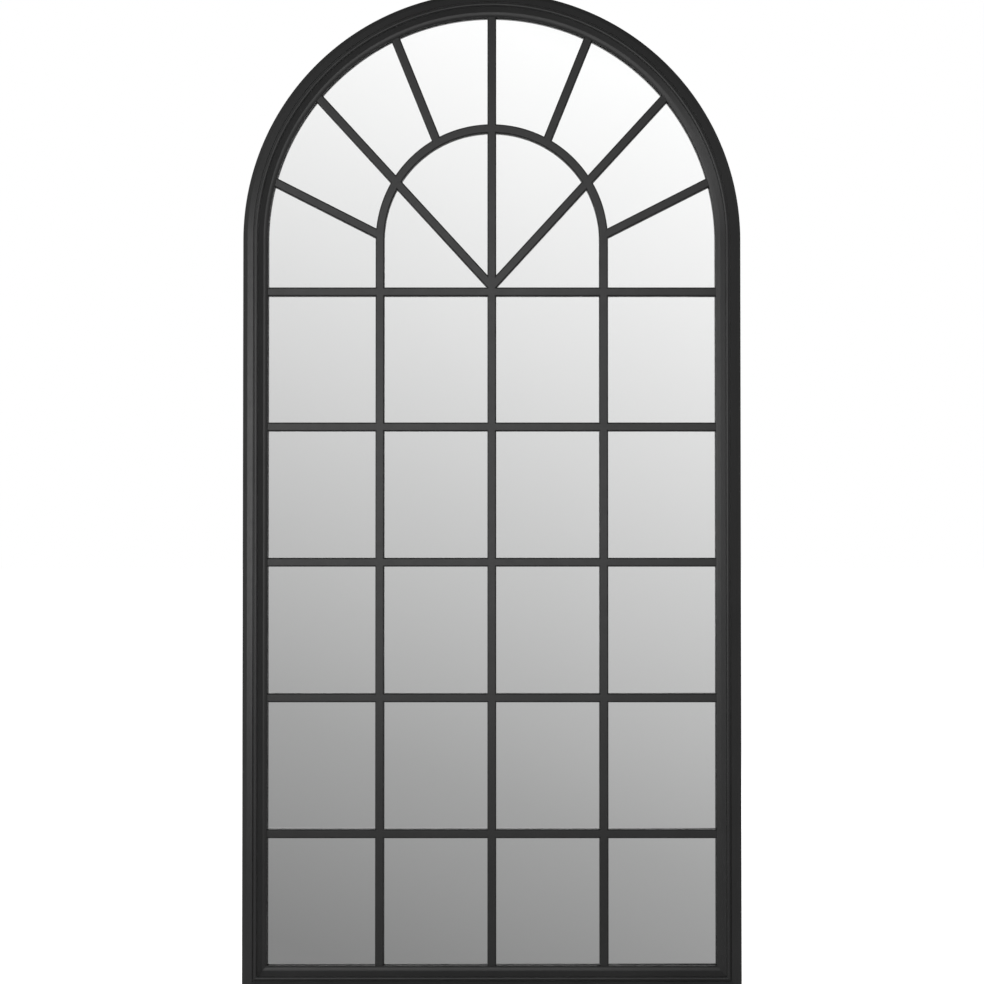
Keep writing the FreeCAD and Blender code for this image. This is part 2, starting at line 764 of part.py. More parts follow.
# Every object has to be sound before anything is written
NODES = ["bottom_rail", "centre_bar", "inner_arch", "mirror_plate", "setting_blocks", "backing_board"]
NODES += ["spring_dowels", "crown_dowels", "mitre_dowels", "backing_screws", "hanger_screws", "wall_bumpers"]
NODES += [f"cross_bar_{row + 1}" for row in range(PANE_ROWS)]
PAIRED = ["stile", "arch", "bar", "diagonal", "upper_radial", "lower_radial", "hanger_strap", "hanger_ring"]
NODES += [f"{end}_{piece}" for end in SIDES for piece in PAIRED]

for thing in doc.Objects:
    if "Invalid" in thing.State or "Error" in thing.State:
        raise RuntimeError(f"{thing.Label} failed to build")
for node in NODES:
    shape = doc.getObject(node).Shape
    if shape.isNull() or not shape.isValid() or not shape.Solids:
        raise RuntimeError(f"{node} has no sound shape")

os.makedirs("parts", exist_ok=True)
for node in NODES:
    piece = doc.getObject(node)
    piece.Label = node
    piece.Shape.exportStep(f"parts/{node}.step")
    print(node, len(piece.Shape.Solids), round(piece.Shape.Volume / 1000, 2), "cm3")
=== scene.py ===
"""An arched window-pane mirror: the painted frame, the grille, the glass and the fittings at the back."""

import math

import bmesh
import bpy
from mathutils import Matrix, Vector


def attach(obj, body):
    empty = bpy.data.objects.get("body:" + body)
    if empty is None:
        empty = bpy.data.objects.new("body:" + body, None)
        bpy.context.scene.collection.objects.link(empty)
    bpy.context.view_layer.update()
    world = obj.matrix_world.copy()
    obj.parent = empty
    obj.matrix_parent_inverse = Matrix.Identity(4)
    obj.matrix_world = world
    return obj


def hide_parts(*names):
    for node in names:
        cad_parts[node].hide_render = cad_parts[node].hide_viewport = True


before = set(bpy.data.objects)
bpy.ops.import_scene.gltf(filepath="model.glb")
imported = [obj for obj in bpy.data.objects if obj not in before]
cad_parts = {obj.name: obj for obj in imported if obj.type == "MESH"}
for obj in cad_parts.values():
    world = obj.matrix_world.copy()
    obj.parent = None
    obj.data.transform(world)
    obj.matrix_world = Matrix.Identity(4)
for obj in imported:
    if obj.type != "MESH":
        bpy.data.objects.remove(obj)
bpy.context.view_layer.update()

MM = 0.001
FRAME_BODY = "frame"
SIDES = {"left": -1, "right": 1}

# Sizes of the frame and the glass, in millimetres
HALF_WIDTH = 450.0
SPRING = 1355.0
FACE_WIDTH = 45.0
SIGHT_HALF = HALF_WIDTH - FACE_WIDTH
BACK_Y = 7.5
GLASS_Y = 0.5
GLASS_THICKNESS = 3.95
GLASS_COVER, GLASS_COVER_BELOW = 7.0, 6.0

# Sizes of the grille, in millimetres and degrees from upright; the slanting bars aim at or above the hub
BAR_HALF = 8.0
BAR_DEPTH = 7.5
BAR_CHAMFER = 2.0
SIDE_BAR = SIGHT_HALF / 2
HUB = 1261.0
PANE_ROWS = 5
ROW_PITCH = (HUB - FACE_WIDTH + BAR_HALF) / PANE_ROWS
DIAGONAL_AIM, DIAGONAL_ANGLE = HUB + 10.0, 42.5
RADIALS = {"upper": (HUB + 27.0, 22.0), "lower": (HUB, 63.1)}
END_TUCK, SLANT_TUCK = 1.0, 2.5

# The faces of crossing bars differ by less than a coat of paint, so that they don't coincide
PAINT_STEP = 0.02

# Sizes of the fittings at the back, in millimetres and degrees
MEMBER_MIDDLE = HALF_WIDTH - 14.0
SCREW_INSET = 32.5
SCREW_MARGIN = 110.0
SIDE_SCREWS, HEAD_SCREWS, BOTTOM_SCREWS = 5, 6, 4
HEAD_SCREW_ANGLE = 15.0
EYE_RADIUS, EYE_LIFT = 3.45, 0.2
EYE_Y, EYE_Z = BACK_Y + EYE_RADIUS + EYE_LIFT, SPRING - 115.0
EYE_TURN, EYE_STEPS = 292.0, 36
STRAP_WIDTH, STRAP_THICKNESS = 13.0, 1.6
STRAP_FOOT, STRAP_BEND = EYE_Z - 58.0, EYE_Z - 8.0
STRAP_CORNER, STRAP_CORNER_STEPS = 3.0, 5
STRAP_SOFT, STRAP_SOFT_STEPS = 0.25, 2
STRAP_SCREWS = (EYE_Z - 31.0, EYE_Z - 50.0)
BUMPER_Z = 80.0
BUMPER_ANGLE = 55.0

# Screw heads from the crown outwards: radius and depth under the crown
PAN_CROWN, PAN_RISE = 2.8, 2.2
PAN_STEPS = ((3.45, 0.3), (3.85, 0.65), (4.0, 1.1), (4.0, PAN_RISE), (2.0, PAN_RISE), (2.0, 16.2))
FLAT_CROWN = 3.3
FLAT_STEPS = ((3.5, 0.15), (1.75, 1.9), (1.75, 13.0))
RECESS_SHARE = 0.62
RECESS_DEPTH, RECESS_TAPER = 1.3, 0.6
TURN_STEP = 47.0

# A wall bumper's outline from its middle: radius, height and bow of the line to the next corner
BUMPER_OUTLINE = (
    (0.0, 8.0, -0.06),
    (5.6, 7.75, -0.55),
    (7.7, 5.6, 0.0),
    (8.0, 0.0, 0.0),
    (0.0, 0.0, 0.0),
)
BUMPER_SIDES = 40

# The moulding's section: distance from the outer edge, height over the back, bow of the line to the next
SECTION = (
    (0.0, 0.0, 0.0),  # outer edge
    (0.0, 15.0, 0.3),  # shoulder
    (8.8, 23.0, 0.0),  # slope
    (19.6, 26.8, 0.0),  # quirk
    (19.6, 24.0, 0.0),
    (22.2, 24.0, 0.0),
    (22.2, 28.0, 2.0),  # bead
    (28.2, 28.0, 0.0),
    (28.2, 25.1, 0.0),  # bevel
    (37.0, 18.0, 0.7),  # lip
    (FACE_WIDTH, 15.0, 0.0),  # inner edge
    (FACE_WIDTH, 7.0, 0.0),  # rebate for the glass
    (37.0, 7.0, 0.0),
    (37.0, 3.0, 0.0),  # rebate for the backing board
    (28.0, 3.0, 0.0),
    (28.0, 0.0, 0.0),
)
BOW_STEPS = 10
ARCH_STEPS = 120

# Softening of the painted arrises, and how near to the inner edge a face counts as part of it
MOULDING_SOFT = 0.4
BAR_SOFT = 0.55
SOFT_STEPS = 3
EDGE_FINE = 0.02

# Distances in metres within which corners are one, and bends in degrees that count as sharp
SAME_PLACE, SAME_CORNER = 1e-6, 1e-7
SHARP_BEND, ARRIS_BEND = 50.0, 40.0

# A face looks backwards when its direction has more than this share of the depth
FACES_BACK = 0.9

# Where most of a noise's values lie
NOISE_LOW, NOISE_HIGH = 0.3, 0.7

# The studio: the floor, the levels of its light, and the greys that the mirror shows from low to high
FLOOR_HALF = 30.0
FLOOR_GREY, FLOOR_GLOW = 0.82, 0.6
PLAIN_LEVEL, WHITE_LEVEL = 0.62, 1.0
LEVEL_SHEEN, STEEP_SHEEN = 0.3, 0.04
LEVEL_REACH, STEEP_REACH = 0.4, 0.9
LEAN_REACH, LEAN = 0.14, 0.053
MIRRORED_REACH = 0.5
MIRRORED_GREYS = (
    (0.0, 0.5),
    (0.2, 0.225),
    (0.25, 0.24),
    (0.36, 0.382),
    (0.5, 0.628),
    (0.61, 0.832),
    (0.75, 1.085),
    (1.0, 0.6),
)

# Soft boxes: place and aim in metres, width and height in metres, power in watts
LEFT_BOX = ((-2.15, -1.75, 1.05), (-0.3, 0.0, 1.05), 1.2, 1.35, 22.0)
FRONT_BOX = ((-0.4, -2.6, 1.2), (-0.1, 0.0, 1.0), 2.1, 1.7, 25.5)
BACK_BOX = ((1.5, 2.5, 1.9), (0.0, 0.0, 0.9), 1.8, 1.8, 40.0)

# The camera: place in metres, tilt in degrees, lens and sensor in millimetres
CAMERA_PLACE = (0.0003, -3.5, 0.846)
CAMERA_TILT = 90.859
LENS, SENSOR = 70.722, 36.0


# Nodes of the materials and the surroundings
def connect(owner, source, target, socket):
    owner.node_tree.links.new(source, target.inputs[socket])


def noise(owner, source, scale, detail, roughness=0.5):
    """A noise on the piece, in features per metre."""
    node = owner.node_tree.nodes.new("ShaderNodeTexNoise")
    node.inputs["Scale"].default_value = scale
    node.inputs["Detail"].default_value = detail
    node.inputs["Roughness"].default_value = roughness
    connect(owner, source, node, "Vector")
    return node.outputs["Fac"]


def stretched(owner, source, scale):
    """The coordinates drawn out along an axis, for fibres and grain."""
    node = owner.node_tree.nodes.new("ShaderNodeMapping")
    node.inputs["Scale"].default_value = scale
    connect(owner, source, node, "Vector")
    return node.outputs["Vector"]


def ramp(owner, source, stops):
    """Colours along a value."""
    node = owner.node_tree.nodes.new("ShaderNodeValToRGB")
    line = node.color_ramp
    while len(line.elements) < len(stops):
        line.elements.new(1.0)
    for element, (position, colour) in zip(line.elements, stops):
        element.position = position
        element.color = (*colour, 1.0)
    connect(owner, source, node, "Fac")
    return node.outputs["Color"]


def ranged(owner, source, low, high, new_low, new_high):
    """A value moved from one range to another and held at its ends."""
    node = owner.node_tree.nodes.new("ShaderNodeMapRange")
    node.inputs["From Min"].default_value = low
    node.inputs["From Max"].default_value = high
    node.inputs["To Min"].default_value = new_low
    node.inputs["To Max"].default_value = new_high
    connect(owner, source, node, "Value")
    return node.outputs["Result"]


def spread(owner, source, low, high):
    """A pattern's middle values spread over a range."""
    return ranged(owner, source, NOISE_LOW, NOISE_HIGH, low, high)


def bump(owner, shader, source, strength, distance):
    """Relief from a pattern."""
    node = owner.node_tree.nodes.new("ShaderNodeBump")
    node.inputs["Strength"].default_value = strength
    node.inputs["Distance"].default_value = distance
    connect(owner, source, node, "Height")
    connect(owner, node.outputs["Normal"], shader, "Normal")


def multiplied(owner, colour, shade):
    """One pattern's colours darkened by another's."""
    node = owner.node_tree.nodes.new("ShaderNodeMix")
    node.data_type = "RGBA"
    node.blend_type = "MULTIPLY"
    node.inputs["Factor"].default_value = 1.0
    connect(owner, colour, node, "A")
    connect(owner, shade, node, "B")
    return node.outputs["Result"]


# Materials
def new_material(name):
    """A material with its shader and its object coordinates."""
    material = bpy.data.materials.new(name)
    material.use_nodes = True
    nodes = material.node_tree.nodes
    shader = nodes["Principled BSDF"]
    place = nodes.new("ShaderNodeTexCoord")
    return material, shader, place.outputs["Object"]


def make_paint():
    """Satin black lacquer over wood, with a faint orange peel and cloudy sheen."""
    material, shader, place = new_material("satin_black_lacquer")
    clouds = noise(material, place, 7.0, 4.0)
    tones = ((0.3, (0.0185, 0.0185, 0.0185)), (0.7, (0.0225, 0.0225, 0.0225)))
    connect(material, ramp(material, clouds, tones), shader, "Base Color")
    sheen = noise(material, place, 60.0, 3.0)
    connect(material, spread(material, sheen, 0.31, 0.37), shader, "Roughness")
    shader.inputs["Specular IOR Level"].default_value = 0.28
    peel = noise(material, place, 700.0, 2.0)
    bump(material, shader, peel, 0.12, 0.0002)
    return material


def make_dull_edge():
    """The thin inner edge of the frame beside the glass, in a darker, rougher and less glossy lacquer than
    the rest.
    """
    material, shader, place = new_material("dull_black_edge")
    nap = noise(material, place, 240.0, 4.0)
    tones = ((0.3, (0.015, 0.015, 0.015)), (0.7, (0.021, 0.021, 0.021)))
    connect(material, ramp(material, nap, tones), shader, "Base Color")
    connect(material, spread(material, nap, 0.42, 0.52), shader, "Roughness")
    shader.inputs["Specular IOR Level"].default_value = 0.22
    return material


def make_clear_glass():
    """Clear float glass."""
    material, shader, place = new_material("clear_glass")
    tint = noise(material, place, 2.0, 2.0)
    tones = ((0.3, (0.992, 0.996, 0.994)), (0.7, (0.997, 0.999, 0.998)))
    connect(material, ramp(material, tint, tones), shader, "Base Color")
    shader.inputs["Roughness"].default_value = 0.0
    shader.inputs["IOR"].default_value = 1.52
    shader.inputs["Transmission Weight"].default_value = 1.0
    return material


def make_silver():
    """The silver coat on the back of the glass, with a faint unevenness."""
    material, shader, place = new_material("silver_coat")
    tint = noise(material, place, 3.0, 2.0)
    tones = ((0.3, (0.955, 0.957, 0.956)), (0.7, (0.965, 0.966, 0.965)))
    connect(material, ramp(material, tint, tones), shader, "Base Color")
    shader.inputs["Metallic"].default_value = 1.0
    shader.inputs["Roughness"].default_value = 0.0
    return material


def make_hardboard():
    """Pressed wood fibre, brown, with darker flecks."""
    material, shader, place = new_material("pressed_hardboard")
    fibres = noise(material, stretched(material, place, (620.0, 620.0, 240.0)), 1.0, 6.0, 0.6)
    browns = ((0.28, (0.150, 0.090, 0.050)), (0.45, (0.230, 0.146, 0.086)), (0.72, (0.290, 0.192, 0.118)))
    fibre_tone = ramp(material, fibres, browns)
    pressing = noise(material, place, 5.0, 5.0, 0.55)
    cloud_tone = ramp(material, pressing, ((0.3, (0.84, 0.83, 0.81)), (0.7, (1.0, 1.0, 1.0))))
    connect(material, multiplied(material, fibre_tone, cloud_tone), shader, "Base Color")
    connect(material, spread(material, fibres, 0.55, 0.72), shader, "Roughness")
    shader.inputs["Specular IOR Level"].default_value = 0.3
    bump(material, shader, fibres, 0.2, 0.0002)
    return material


def make_rubber():
    """Matt black rubber."""
    material, shader, place = new_material("black_rubber")
    bloom = noise(material, place, 90.0, 5.0)
    tones = ((0.3, (0.020, 0.020, 0.021)), (0.75, (0.034, 0.034, 0.035)))
    connect(material, ramp(material, bloom, tones), shader, "Base Color")
    connect(material, spread(material, bloom, 0.66, 0.82), shader, "Roughness")
    bump(material, shader, noise(material, place, 1400.0, 2.0), 0.2, 0.0002)
    return material


def make_zinc():
    """Bright zinc on steel, with rolling lines and dull patches."""
    material, shader, place = new_material("bright_zinc")
    lines = noise(material, stretched(material, place, (2600.0, 2600.0, 160.0)), 1.0, 3.0)
    patches = noise(material, place, 130.0, 4.0)
    tones = ((0.3, (0.52, 0.53, 0.54)), (0.55, (0.63, 0.64, 0.64)), (0.8, (0.70, 0.70, 0.69)))
    connect(material, ramp(material, patches, tones), shader, "Base Color")
    shader.inputs["Metallic"].default_value = 1.0
    connect(material, spread(material, lines, 0.26, 0.42), shader, "Roughness")
    bump(material, shader, lines, 0.08, 0.0001)
    return material


def make_beech():
    """Pale beech with fine flecks."""
    material, shader, place = new_material("pale_beech")
    grain = noise(material, stretched(material, place, (500.0, 500.0, 60.0)), 1.0, 5.0)
    tones = ((0.3, (0.37, 0.21, 0.11)), (0.5, (0.52, 0.33, 0.19)), (0.72, (0.60, 0.41, 0.25)))
    connect(material, ramp(material, grain, tones), shader, "Base Color")
    connect(material, spread(material, grain, 0.5, 0.66), shader, "Roughness")
    return material


PAINT = make_paint()
DULL_EDGE = make_dull_edge()
CLEAR_GLASS = make_clear_glass()
SILVER = make_silver()
HARDBOARD = make_hardboard()
RUBBER = make_rubber()
ZINC = make_zinc()
BEECH = make_beech()


# Helpers for the pieces
def corners_of(result):
    return [part for part in result["geom"] if isinstance(part, bmesh.types.BMVert)]


def nearest(points, spot):
    return min(points, key=lambda point: (point - spot).length)


def evenly(first, last, count):
    """Places spaced evenly from the first to the last."""
    return [first + (last - first) * step / (count - 1) for step in range(count)]


def finished(bm, name, material, node, smooth=True):
    """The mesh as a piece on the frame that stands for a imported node."""
    bmesh.ops.remove_doubles(bm, verts=bm.verts, dist=SAME_CORNER)
    bmesh.ops.recalc_face_normals(bm, faces=bm.faces)
    for face in bm.faces:
        face.smooth = smooth
    mesh = bpy.data.meshes.new(name)
    bm.to_mesh(mesh)
    bm.free()
    mesh.materials.append(material)
    piece = bpy.data.objects.new(name, mesh)
    bpy.context.scene.collection.objects.link(piece)
    if smooth:
        mesh.set_sharp_from_angle(angle=math.radians(SHARP_BEND))
        evened = piece.modifiers.new("evened_normals", "WEIGHTED_NORMAL")
        evened.keep_sharp = True
    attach(piece, FRAME_BODY)
    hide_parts(node)
    return piece


def bowed_line(bm, start, end, rise):
    """A straight or bowed line in the section's plane, as edges."""
    first = bm.verts.new(start)
    if rise == 0.0:
        bm.edges.new((first, bm.verts.new(end)))
        return
    chord = end - start
    half = chord.length / 2
    radius = (half * half + rise * rise) / (2 * abs(rise))
    side = Vector((-chord.y, chord.x, 0.0)).normalized() * math.copysign(1.0, -rise)
    centre = start + chord / 2 + side * -(radius - abs(rise))
    angle = 2 * math.asin(half / radius)
    turn = math.copysign(1.0, (start - centre).cross(end - centre).z)
    bmesh.ops.spin(bm, geom=[first], cent=centre, axis=(0, 0, turn), angle=angle, steps=BOW_STEPS)


def soften(bm, corners, width, steps):
    """The chosen corners of a flat shape, rounded."""
    bmesh.ops.bevel(
        bm,
        geom=corners,
        offset=width * MM,
        offset_type="OFFSET",
        affect="VERTICES",
        segments=steps,
        profile=0.5,
        material=-1,
    )


def moulding_section():
    """The moulding's section at the left edge of the frame, level, as one face."""
    bm = bmesh.new()
    corners = [(inwards - HALF_WIDTH, BACK_Y - height) for inwards, height, _ in SECTION]
    points = [Vector((x * MM, y * MM, 0.0)) for x, y in corners]
    for start, end, (*_, bow) in zip(points, points[1:] + points[:1], SECTION):
        bowed_line(bm, start, end, bow * MM)
    bmesh.ops.remove_doubles(bm, verts=bm.verts, dist=SAME_PLACE)
    bmesh.ops.contextual_create(bm, geom=bm.edges[:])
    sharp = [corner for corner in bm.verts if (corner.co - nearest(points, corner.co)).length < SAME_PLACE]
    soften(bm, sharp, MOULDING_SOFT, SOFT_STEPS)
    return bm


def bar_section(front_step):
    """A bar's section about its middle line, level, as one face."""
    bm = bmesh.new()
    front = GLASS_Y - BAR_DEPTH + front_step
    outline = (
        (-BAR_HALF, GLASS_Y),
        (-BAR_HALF, front + BAR_CHAMFER),
        (-BAR_HALF + BAR_CHAMFER, front),
        (BAR_HALF - BAR_CHAMFER, front),
        (BAR_HALF, front + BAR_CHAMFER),
        (BAR_HALF, GLASS_Y),
    )
    corners = [bm.verts.new((x * MM, y * MM, 0.0)) for x, y in outline]
    bm.faces.new(corners)
    soften(bm, corners[1:5], BAR_SOFT, SOFT_STEPS)
    return bm


def drawn_out(bm, length):
    """The flat section drawn out upwards to a length; gives the corners of both ends."""
    start = bm.verts[:]
    result = bmesh.ops.extrude_face_region(bm, geom=bm.faces[:])
    bmesh.ops.translate(bm, verts=corners_of(result), vec=(0.0, 0.0, length * MM))
    return start, corners_of(result)


def bent_round(bm, angle, steps):
    """The flat section swept round the head's centre, upwards from the left."""
    bmesh.ops.spin(
        bm, geom=bm.faces[:], cent=(0, 0, 0), axis=(0, 1, 0), angle=math.radians(angle), steps=steps
    )


# The frame
def mitre(bm, corners, level, direction):
    """Slants an end so that it runs in at 45 degrees from the outer edge."""
    slant = Matrix.Identity(4)
    slant[2][0] = direction
    slant[2][3] = direction * HALF_WIDTH * MM + level * MM
    for corner in corners:
        corner.co.z = 0.0
    bmesh.ops.transform(bm, matrix=slant, verts=corners)


def leave_edge_dull(piece):
    """The narrow faces that look across the opening, beside the glass."""
    piece.data.materials.append(DULL_EDGE)
    for face in piece.data.polygons:
        x, z = face.center.x / MM, face.center.z / MM
        from_middle = math.hypot(x, max(z - SPRING, 0.0))
        if min(abs(from_middle - SIGHT_HALF), abs(z - FACE_WIDTH)) < EDGE_FINE:
            face.material_index = 1


def make_stile(end, side):
    bm = moulding_section()
    low = drawn_out(bm, SPRING)[0]
    mitre(bm, low, 0.0, 1.0)
    bmesh.ops.scale(bm, vec=(-side, 1.0, 1.0), verts=bm.verts)
    stile = finished(bm, f"{end}_stile_moulding", PAINT, f"{end}_stile")
    leave_edge_dull(stile)


def make_rail():
    bm = moulding_section()
    low, high = drawn_out(bm, 2 * HALF_WIDTH)
    mitre(bm, low, 0.0, 1.0)
    mitre(bm, high, 2 * HALF_WIDTH, -1.0)
    lying = Matrix(((0, 0, 1, -HALF_WIDTH * MM), (0, 1, 0, 0), (1, 0, 0, HALF_WIDTH * MM), (0, 0, 0, 1)))
    bmesh.ops.transform(bm, matrix=lying, verts=bm.verts)
    rail = finished(bm, "bottom_rail_moulding", PAINT, "bottom_rail")
    leave_edge_dull(rail)


def make_head(end, side):
    bm = moulding_section()
    bent_round(bm, 90, ARCH_STEPS)
    bmesh.ops.scale(bm, vec=(-side, 1.0, 1.0), verts=bm.verts)
    bmesh.ops.translate(bm, vec=(0.0, 0.0, SPRING * MM), verts=bm.verts)
    arch = finished(bm, f"{end}_arch_moulding", PAINT, f"{end}_arch")
    leave_edge_dull(arch)


# The grille
def make_bar(node, start, length, x, z, angle, step):
    """A straight bar from a distance along its own line, leaning to the right by an angle from upright."""
    bm = bar_section(step * PAINT_STEP)
    drawn_out(bm, length)
    bmesh.ops.translate(bm, vec=(0.0, 0.0, start * MM), verts=bm.verts)
    lean = Matrix.Translation((x * MM, 0.0, z * MM)) @ Matrix.Rotation(math.radians(angle), 4, "Y")
    bmesh.ops.transform(bm, matrix=lean, verts=bm.verts)
    finished(bm, f"{node}_painted", PAINT, node)


def reach(aim, angle, radius):
    """How far a line from a point on the middle line runs to a circle about the head's centre."""
    drop = SPRING - aim
    along = drop * math.cos(math.radians(angle))
    across = drop * math.sin(math.radians(angle))
    return along + math.sqrt(radius * radius - across * across)


def make_inner_arch():
    bm = bar_section(PAINT_STEP)
    bmesh.ops.translate(bm, vec=(-SIDE_BAR * MM, 0.0, 0.0), verts=bm.verts)
    bent_round(bm, 180, 2 * ARCH_STEPS)
    bmesh.ops.translate(bm, vec=(0.0, 0.0, SPRING * MM), verts=bm.verts)
    finished(bm, "inner_arch_painted", PAINT, "inner_arch")


def make_grille():
    foot = FACE_WIDTH - END_TUCK
    make_bar("centre_bar", foot, SPRING + SIGHT_HALF + END_TUCK - foot, 0.0, 0.0, 0.0, 0)
    for end, side in SIDES.items():
        make_bar(f"{end}_bar", foot, SPRING - foot, side * SIDE_BAR, 0.0, 0.0, 0)
    across = SIGHT_HALF + END_TUCK
    for row in range(PANE_ROWS):
        make_bar(f"cross_bar_{row + 1}", -across, 2 * across, 0.0, HUB - row * ROW_PITCH, 90.0, 1)
    make_inner_arch()
    for end, side in SIDES.items():
        length = reach(DIAGONAL_AIM, DIAGONAL_ANGLE, SIGHT_HALF) + SLANT_TUCK - BAR_CHAMFER
        make_bar(f"{end}_diagonal", BAR_CHAMFER, length, 0.0, DIAGONAL_AIM, side * DIAGONAL_ANGLE, 0.5)
        for level, (aim, angle) in RADIALS.items():
            inner = reach(aim, angle, SIDE_BAR)
            outer = reach(aim, angle, SIGHT_HALF) + SLANT_TUCK
            make_bar(f"{end}_{level}_radial", inner, outer - inner, 0.0, aim, side * angle, 2)


# The glass
def make_mirror():
    """One clear sheet with a round head, silvered on its back."""
    half, foot = (SIGHT_HALF + GLASS_COVER) * MM, (FACE_WIDTH - GLASS_COVER_BELOW) * MM
    front, spring = GLASS_Y * MM, SPRING * MM
    bm = bmesh.new()
    right = bm.verts.new((half, front, spring))
    head = bmesh.ops.spin(
        bm, geom=[right], cent=(0, front, spring), axis=(0, -1, 0), angle=math.pi, steps=2 * ARCH_STEPS
    )
    left = corners_of({"geom": head["geom_last"]})[0]
    low_left = bm.verts.new((-half, front, foot))
    low_right = bm.verts.new((half, front, foot))
    bm.edges.new((left, low_left))
    bm.edges.new((low_left, low_right))
    bm.edges.new((low_right, right))
    bmesh.ops.contextual_create(bm, geom=bm.edges[:])
    back = bmesh.ops.extrude_face_region(bm, geom=bm.faces[:])
    bmesh.ops.translate(bm, verts=corners_of(back), vec=(0.0, GLASS_THICKNESS * MM, 0.0))
    mirror = finished(bm, "mirror_glass", CLEAR_GLASS, "mirror_plate", smooth=False)
    mirror.data.materials.append(SILVER)
    for face in mirror.data.polygons:
        if face.normal.y > FACES_BACK:
            face.material_index = 1
    return mirror


# The fittings at the back
def set_out(bm, stands):
    """Copies of one small piece, one at each stand, in place of the first."""
    pattern = bm.verts[:] + bm.edges[:] + bm.faces[:]
    for stand in stands:
        copy = bmesh.ops.duplicate(bm, geom=pattern)
        bmesh.ops.transform(bm, matrix=stand, verts=corners_of(copy))
    bmesh.ops.delete(bm, geom=corners_of({"geom": pattern}), context="VERTS")


def in_cross(face):
    """Whether a square of the crown lies in one of the cross's arms or its middle."""
    middle = face.calc_center_median()
    return min(abs(middle.x), abs(middle.y)) < SAME_PLACE


def screw(crown, steps):
    """A cross-recessed screw that points down, its crown at the origin."""
    bm = bmesh.new()
    arm = RECESS_SHARE * crown * MM
    bmesh.ops.create_grid(bm, x_segments=3, y_segments=3, size=arm)
    recess = [face for face in bm.faces if in_cross(face)]
    bmesh.ops.subdivide_edges(bm, edges=[edge for edge in bm.edges if edge.is_boundary], cuts=2)
    border = [edge for edge in bm.edges if edge.is_boundary]
    ring = corners_of(bmesh.ops.extrude_edge_only(bm, edges=border))
    for corner in ring:
        corner.co = corner.co.normalized() * crown * MM
    rim = [edge for edge in bm.edges if edge.is_boundary]
    sunk = corners_of(bmesh.ops.extrude_face_region(bm, geom=recess))
    bmesh.ops.delete(bm, geom=[face for face in recess if face.is_valid], context="FACES_ONLY")
    bmesh.ops.scale(bm, vec=(RECESS_TAPER, RECESS_TAPER, 1.0), verts=sunk)
    bmesh.ops.translate(bm, vec=(0.0, 0.0, -RECESS_DEPTH * MM), verts=sunk)
    last_radius, last_depth = crown, 0.0
    for radius, depth in steps:
        ring = corners_of(bmesh.ops.extrude_edge_only(bm, edges=rim))
        bmesh.ops.scale(bm, vec=(radius / last_radius, radius / last_radius, 1.0), verts=ring)
        bmesh.ops.translate(bm, vec=(0.0, 0.0, (last_depth - depth) * MM), verts=ring)
        rim = [edge for edge in bm.edges if edge.verts[0] in ring and edge.verts[1] in ring]
        last_radius, last_depth = radius, depth
    bmesh.ops.contextual_create(bm, geom=rim)
    return bm


def screw_stands(spots, y):
    """Screws driven in from the back, each stopped at its own turn."""
    driven_in = Matrix.Rotation(math.radians(-90), 4, "X")
    for index, (x, z) in enumerate(spots):
        turned = Matrix.Rotation(math.radians(index * TURN_STEP), 4, "Z")
        yield Matrix.Translation((x * MM, y * MM, z * MM)) @ driven_in @ turned


def round_the_head(radius, angle):
    return radius * math.cos(math.radians(angle)), SPRING + radius * math.sin(math.radians(angle))


def make_backing_screws():
    line = HALF_WIDTH - SCREW_INSET
    heights = evenly(SCREW_MARGIN, SPRING - SCREW_MARGIN, SIDE_SCREWS)
    angles = evenly(HEAD_SCREW_ANGLE, 180.0 - HEAD_SCREW_ANGLE, HEAD_SCREWS)
    places = evenly(SCREW_MARGIN - HALF_WIDTH, HALF_WIDTH - SCREW_MARGIN, BOTTOM_SCREWS)
    spots = [(side * line, z) for side in SIDES.values() for z in heights]
    spots += [round_the_head(line, angle) for angle in angles]
    spots += [(x, SCREW_INSET) for x in places]
    bm = screw(FLAT_CROWN, FLAT_STEPS)
    set_out(bm, screw_stands(spots, BACK_Y))
    finished(bm, "backing_screws_flat_head", ZINC, "backing_screws")


def make_hanger_screws():
    spots = [(side * MEMBER_MIDDLE, z) for side in SIDES.values() for z in STRAP_SCREWS]
    bm = screw(PAN_CROWN, PAN_STEPS)
    set_out(bm, screw_stands(spots, BACK_Y + STRAP_THICKNESS + PAN_RISE))
    finished(bm, "hanger_screws_pan_head", ZINC, "hanger_screws")


